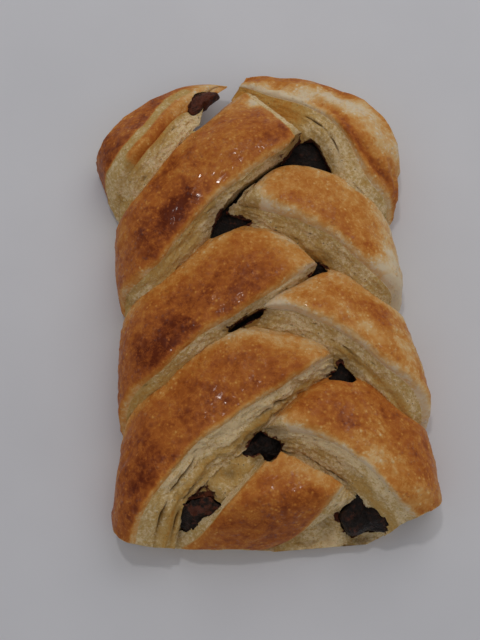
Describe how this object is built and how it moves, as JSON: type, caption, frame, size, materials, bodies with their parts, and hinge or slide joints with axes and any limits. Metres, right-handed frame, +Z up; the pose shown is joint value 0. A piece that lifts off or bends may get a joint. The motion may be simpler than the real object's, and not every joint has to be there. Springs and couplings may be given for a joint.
{
  "type": "chocolate hazelnut braid",
  "caption": "Baked braid of laminated pastry whose strips are folded by turns over a dark chocolate hazelnut filling that shows in the gaps and at the foot end",
  "frame": {"origin": "middle of the footprint, at the level of the flat underside", "axes": "+Y along the braid, from the open foot end to the head end; +Z up; +X to the side of the right-hand strips as seen from above with the head away from the viewer"},
  "size_m": [0.0844, 0.1278, 0.0256],
  "materials": {
    "dough": null,
    "filling": null
  },
  "bodies": {
    "root": {"dough": "dough", "filling": "filling"}
  },
  "joints": []
}
